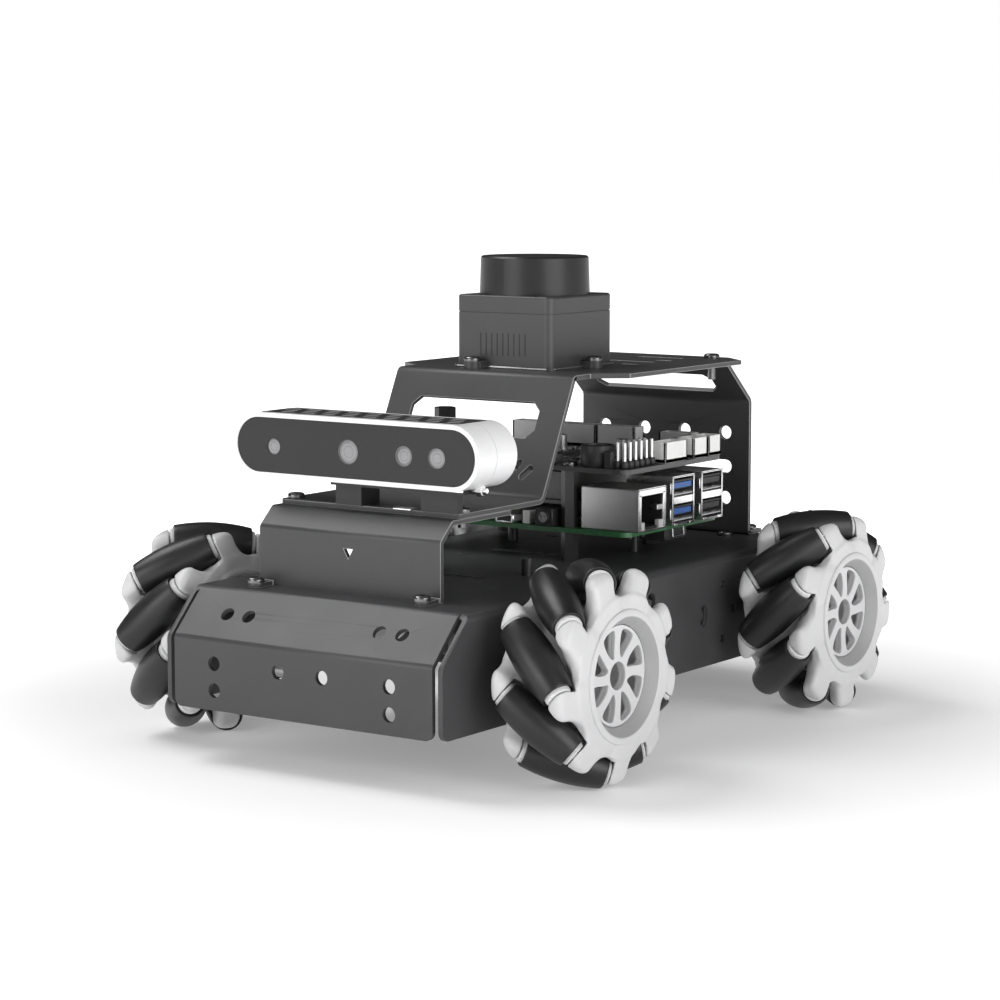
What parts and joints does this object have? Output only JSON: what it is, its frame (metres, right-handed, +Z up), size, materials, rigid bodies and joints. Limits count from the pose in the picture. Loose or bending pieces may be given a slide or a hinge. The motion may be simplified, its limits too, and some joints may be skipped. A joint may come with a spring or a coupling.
{
  "type": "mecanum wheel robot",
  "caption": "Small wheeled robot with barrel-roller omnidirectional wheels, folded metal chassis, wide stereo camera, rooftop scanner and stacked control boards.",
  "frame": {"origin": "on the floor under the middle of the chassis, which is also the middle between the axles", "axes": "+X forward, towards the camera; +Y to the robot's left; +Z up"},
  "size_m": [0.2222, 0.169, 0.1471],
  "materials": {
    "black_paint": "matt black powder coat, fine texture",
    "camera_shell": "satin white",
    "camera_glass": "smooth dark window",
    "black_plastic": "moulded matt black",
    "scanner_plastic": "fine moulded texture",
    "scanner_gloss": "polished, dark to the eye and clear to infrared",
    "green_board": "green solder mask",
    "black_board": "black solder mask",
    "port_metal": "tin-plated shells",
    "cooler_metal": "anodised",
    "connector_plastic": "white and black nylon",
    "screw_metal": "black oxide",
    "motor_metal": "plated can on a dark gearbox",
    "battery_wrap": "shrink wrap",
    "hub_plastic": "light grey moulded nylon",
    "roller_rubber": "matt black, slightly worn"
  },
  "bodies": {
    "chassis": {"chassis_plate": "black_paint", "camera_bracket": "black_paint", "upper_bracket": "black_paint", "rear_panel": "black_paint", "camera_body": "camera_shell", "camera_window": "camera_glass", "camera_mount": "black_plastic", "scanner_base": "scanner_plastic", "scanner_cover": "scanner_gloss", "computer_board": "green_board", "computer_ports": "port_metal", "cooler": "cooler_metal", "expansion_board": "black_board", "expansion_parts": "connector_plastic", "standoffs": "black_plastic", "screws": "screw_metal", "gear_motors": "motor_metal", "battery_pack": "battery_wrap"},
    "scanner_head": {"scanner_rotor": "black_plastic"},
    "fan": {"fan_rotor": "black_plastic"},
    "front_left_wheel": {"front_left_hub": "hub_plastic"},
    "front_right_wheel": {"front_right_hub": "hub_plastic"},
    "rear_left_wheel": {"rear_left_hub": "hub_plastic"},
    "rear_right_wheel": {"rear_right_hub": "hub_plastic"},
    "front_left_roller_1": {"front_left_roller_1": "roller_rubber"},
    "front_left_roller_2": {"front_left_roller_2": "roller_rubber"},
    "front_left_roller_3": {"front_left_roller_3": "roller_rubber"},
    "front_left_roller_4": {"front_left_roller_4": "roller_rubber"},
    "front_left_roller_5": {"front_left_roller_5": "roller_rubber"},
    "front_left_roller_6": {"front_left_roller_6": "roller_rubber"},
    "front_left_roller_7": {"front_left_roller_7": "roller_rubber"},
    "front_left_roller_8": {"front_left_roller_8": "roller_rubber"},
    "front_left_roller_9": {"front_left_roller_9": "roller_rubber"},
    "front_right_roller_1": {"front_right_roller_1": "roller_rubber"},
    "front_right_roller_2": {"front_right_roller_2": "roller_rubber"},
    "front_right_roller_3": {"front_right_roller_3": "roller_rubber"},
    "front_right_roller_4": {"front_right_roller_4": "roller_rubber"},
    "front_right_roller_5": {"front_right_roller_5": "roller_rubber"},
    "front_right_roller_6": {"front_right_roller_6": "roller_rubber"},
    "front_right_roller_7": {"front_right_roller_7": "roller_rubber"},
    "front_right_roller_8": {"front_right_roller_8": "roller_rubber"},
    "front_right_roller_9": {"front_right_roller_9": "roller_rubber"},
    "rear_left_roller_1": {"rear_left_roller_1": "roller_rubber"},
    "rear_left_roller_2": {"rear_left_roller_2": "roller_rubber"},
    "rear_left_roller_3": {"rear_left_roller_3": "roller_rubber"},
    "rear_left_roller_4": {"rear_left_roller_4": "roller_rubber"},
    "rear_left_roller_5": {"rear_left_roller_5": "roller_rubber"},
    "rear_left_roller_6": {"rear_left_roller_6": "roller_rubber"},
    "rear_left_roller_7": {"rear_left_roller_7": "roller_rubber"},
    "rear_left_roller_8": {"rear_left_roller_8": "roller_rubber"},
    "rear_left_roller_9": {"rear_left_roller_9": "roller_rubber"},
    "rear_right_roller_1": {"rear_right_roller_1": "roller_rubber"},
    "rear_right_roller_2": {"rear_right_roller_2": "roller_rubber"},
    "rear_right_roller_3": {"rear_right_roller_3": "roller_rubber"},
    "rear_right_roller_4": {"rear_right_roller_4": "roller_rubber"},
    "rear_right_roller_5": {"rear_right_roller_5": "roller_rubber"},
    "rear_right_roller_6": {"rear_right_roller_6": "roller_rubber"},
    "rear_right_roller_7": {"rear_right_roller_7": "roller_rubber"},
    "rear_right_roller_8": {"rear_right_roller_8": "roller_rubber"},
    "rear_right_roller_9": {"rear_right_roller_9": "roller_rubber"}
  },
  "joints": [
    {"name": "front_left_wheel_spin", "type": "hinge", "parent": "chassis", "child": "front_left_wheel", "pos_m": [0.0685, 0.07035, 0.0325], "axis": [0, 1, 0], "continuous": true},
    {"name": "front_right_wheel_spin", "type": "hinge", "parent": "chassis", "child": "front_right_wheel", "pos_m": [0.0685, -0.07035, 0.0325], "axis": [0, 1, 0], "continuous": true},
    {"name": "rear_left_wheel_spin", "type": "hinge", "parent": "chassis", "child": "rear_left_wheel", "pos_m": [-0.0685, 0.07035, 0.0325], "axis": [0, 1, 0], "continuous": true},
    {"name": "rear_right_wheel_spin", "type": "hinge", "parent": "chassis", "child": "rear_right_wheel", "pos_m": [-0.0685, -0.07035, 0.0325], "axis": [0, 1, 0], "continuous": true},
    {"name": "front_left_roller_1_spin", "type": "hinge", "parent": "front_left_wheel", "child": "front_left_roller_1", "pos_m": [0.09388, 0.07035, 0.0394], "axis": [0.1854, 0.7071, -0.6824], "continuous": true},
    {"name": "front_left_roller_2_spin", "type": "hinge", "parent": "front_left_wheel", "child": "front_left_roller_2", "pos_m": [0.08351, 0.07035, 0.0541], "axis": [0.5806, 0.7071, -0.4036], "continuous": true},
    {"name": "front_left_roller_3_spin", "type": "hinge", "parent": "front_left_wheel", "child": "front_left_roller_3", "pos_m": [0.06612, 0.07035, 0.05869], "axis": [0.7042, 0.7071, 0.0641], "continuous": true},
    {"name": "front_left_roller_4_spin", "type": "hinge", "parent": "front_left_wheel", "child": "front_left_roller_4", "pos_m": [0.04984, 0.07035, 0.05103], "axis": [0.4983, 0.7071, 0.5017], "continuous": true},
    {"name": "front_left_roller_5_spin", "type": "hinge", "parent": "front_left_wheel", "child": "front_left_roller_5", "pos_m": [0.04229, 0.07035, 0.0347], "axis": [0.0592, 0.7071, 0.7046], "continuous": true},
    {"name": "front_left_roller_6_spin", "type": "hinge", "parent": "front_left_wheel", "child": "front_left_roller_6", "pos_m": [0.04701, 0.07035, 0.01734], "axis": [-0.4076, 0.7071, 0.5778], "continuous": true},
    {"name": "front_left_roller_7_spin", "type": "hinge", "parent": "front_left_wheel", "child": "front_left_roller_7", "pos_m": [0.06178, 0.07035, 0.00707], "axis": [-0.6836, 0.7071, 0.1806], "continuous": true},
    {"name": "front_left_roller_8_spin", "type": "hinge", "parent": "front_left_wheel", "child": "front_left_roller_8", "pos_m": [0.0797, 0.07035, 0.0087], "axis": [-0.6398, 0.7071, -0.3011], "continuous": true},
    {"name": "front_left_roller_9_spin", "type": "hinge", "parent": "front_left_wheel", "child": "front_left_roller_9", "pos_m": [0.09237, 0.07035, 0.02147], "axis": [-0.2966, 0.7071, -0.6419], "continuous": true},
    {"name": "front_right_roller_1_spin", "type": "hinge", "parent": "front_right_wheel", "child": "front_right_roller_1", "pos_m": [0.09388, -0.07035, 0.0394], "axis": [0.1854, -0.7071, -0.6824], "continuous": true},
    {"name": "front_right_roller_2_spin", "type": "hinge", "parent": "front_right_wheel", "child": "front_right_roller_2", "pos_m": [0.08351, -0.07035, 0.0541], "axis": [0.5806, -0.7071, -0.4036], "continuous": true},
    {"name": "front_right_roller_3_spin", "type": "hinge", "parent": "front_right_wheel", "child": "front_right_roller_3", "pos_m": [0.06612, -0.07035, 0.05869], "axis": [0.7042, -0.7071, 0.0641], "continuous": true},
    {"name": "front_right_roller_4_spin", "type": "hinge", "parent": "front_right_wheel", "child": "front_right_roller_4", "pos_m": [0.04984, -0.07035, 0.05103], "axis": [0.4983, -0.7071, 0.5017], "continuous": true},
    {"name": "front_right_roller_5_spin", "type": "hinge", "parent": "front_right_wheel", "child": "front_right_roller_5", "pos_m": [0.04229, -0.07035, 0.0347], "axis": [0.0592, -0.7071, 0.7046], "continuous": true},
    {"name": "front_right_roller_6_spin", "type": "hinge", "parent": "front_right_wheel", "child": "front_right_roller_6", "pos_m": [0.04701, -0.07035, 0.01734], "axis": [-0.4076, -0.7071, 0.5778], "continuous": true},
    {"name": "front_right_roller_7_spin", "type": "hinge", "parent": "front_right_wheel", "child": "front_right_roller_7", "pos_m": [0.06178, -0.07035, 0.00707], "axis": [-0.6836, -0.7071, 0.1806], "continuous": true},
    {"name": "front_right_roller_8_spin", "type": "hinge", "parent": "front_right_wheel", "child": "front_right_roller_8", "pos_m": [0.0797, -0.07035, 0.0087], "axis": [-0.6398, -0.7071, -0.3011], "continuous": true},
    {"name": "front_right_roller_9_spin", "type": "hinge", "parent": "front_right_wheel", "child": "front_right_roller_9", "pos_m": [0.09237, -0.07035, 0.02147], "axis": [-0.2966, -0.7071, -0.6419], "continuous": true},
    {"name": "rear_left_roller_1_spin", "type": "hinge", "parent": "rear_left_wheel", "child": "rear_left_roller_1", "pos_m": [-0.09388, 0.07035, 0.0394], "axis": [-0.1854, 0.7071, -0.6824], "continuous": true},
    {"name": "rear_left_roller_2_spin", "type": "hinge", "parent": "rear_left_wheel", "child": "rear_left_roller_2", "pos_m": [-0.08351, 0.07035, 0.0541], "axis": [-0.5806, 0.7071, -0.4036], "continuous": true},
    {"name": "rear_left_roller_3_spin", "type": "hinge", "parent": "rear_left_wheel", "child": "rear_left_roller_3", "pos_m": [-0.06612, 0.07035, 0.05869], "axis": [-0.7042, 0.7071, 0.0641], "continuous": true},
    {"name": "rear_left_roller_4_spin", "type": "hinge", "parent": "rear_left_wheel", "child": "rear_left_roller_4", "pos_m": [-0.04984, 0.07035, 0.05103], "axis": [-0.4983, 0.7071, 0.5017], "continuous": true},
    {"name": "rear_left_roller_5_spin", "type": "hinge", "parent": "rear_left_wheel", "child": "rear_left_roller_5", "pos_m": [-0.04229, 0.07035, 0.0347], "axis": [-0.0592, 0.7071, 0.7046], "continuous": true},
    {"name": "rear_left_roller_6_spin", "type": "hinge", "parent": "rear_left_wheel", "child": "rear_left_roller_6", "pos_m": [-0.04701, 0.07035, 0.01734], "axis": [0.4076, 0.7071, 0.5778], "continuous": true},
    {"name": "rear_left_roller_7_spin", "type": "hinge", "parent": "rear_left_wheel", "child": "rear_left_roller_7", "pos_m": [-0.06178, 0.07035, 0.00707], "axis": [0.6836, 0.7071, 0.1806], "continuous": true},
    {"name": "rear_left_roller_8_spin", "type": "hinge", "parent": "rear_left_wheel", "child": "rear_left_roller_8", "pos_m": [-0.0797, 0.07035, 0.0087], "axis": [0.6398, 0.7071, -0.3011], "continuous": true},
    {"name": "rear_left_roller_9_spin", "type": "hinge", "parent": "rear_left_wheel", "child": "rear_left_roller_9", "pos_m": [-0.09237, 0.07035, 0.02147], "axis": [0.2966, 0.7071, -0.6419], "continuous": true},
    {"name": "rear_right_roller_1_spin", "type": "hinge", "parent": "rear_right_wheel", "child": "rear_right_roller_1", "pos_m": [-0.09388, -0.07035, 0.0394], "axis": [-0.1854, -0.7071, -0.6824], "continuous": true},
    {"name": "rear_right_roller_2_spin", "type": "hinge", "parent": "rear_right_wheel", "child": "rear_right_roller_2", "pos_m": [-0.08351, -0.07035, 0.0541], "axis": [-0.5806, -0.7071, -0.4036], "continuous": true},
    {"name": "rear_right_roller_3_spin", "type": "hinge", "parent": "rear_right_wheel", "child": "rear_right_roller_3", "pos_m": [-0.06612, -0.07035, 0.05869], "axis": [-0.7042, -0.7071, 0.0641], "continuous": true},
    {"name": "rear_right_roller_4_spin", "type": "hinge", "parent": "rear_right_wheel", "child": "rear_right_roller_4", "pos_m": [-0.04984, -0.07035, 0.05103], "axis": [-0.4983, -0.7071, 0.5017], "continuous": true},
    {"name": "rear_right_roller_5_spin", "type": "hinge", "parent": "rear_right_wheel", "child": "rear_right_roller_5", "pos_m": [-0.04229, -0.07035, 0.0347], "axis": [-0.0592, -0.7071, 0.7046], "continuous": true},
    {"name": "rear_right_roller_6_spin", "type": "hinge", "parent": "rear_right_wheel", "child": "rear_right_roller_6", "pos_m": [-0.04701, -0.07035, 0.01734], "axis": [0.4076, -0.7071, 0.5778], "continuous": true},
    {"name": "rear_right_roller_7_spin", "type": "hinge", "parent": "rear_right_wheel", "child": "rear_right_roller_7", "pos_m": [-0.06178, -0.07035, 0.00707], "axis": [0.6836, -0.7071, 0.1806], "continuous": true},
    {"name": "rear_right_roller_8_spin", "type": "hinge", "parent": "rear_right_wheel", "child": "rear_right_roller_8", "pos_m": [-0.0797, -0.07035, 0.0087], "axis": [0.6398, -0.7071, -0.3011], "continuous": true},
    {"name": "rear_right_roller_9_spin", "type": "hinge", "parent": "rear_right_wheel", "child": "rear_right_roller_9", "pos_m": [-0.09237, -0.07035, 0.02147], "axis": [0.2966, -0.7071, -0.6419], "continuous": true},
    {"name": "scanner_spin", "type": "hinge", "parent": "chassis", "child": "scanner_head", "pos_m": [-0.01, 0, 0.1362], "axis": [0, 0, 1], "continuous": true},
    {"name": "fan_spin", "type": "hinge", "parent": "chassis", "child": "fan", "pos_m": [-0.0275, -0.002, 0.0735], "axis": [0, 0, 1], "continuous": true}
  ]
}
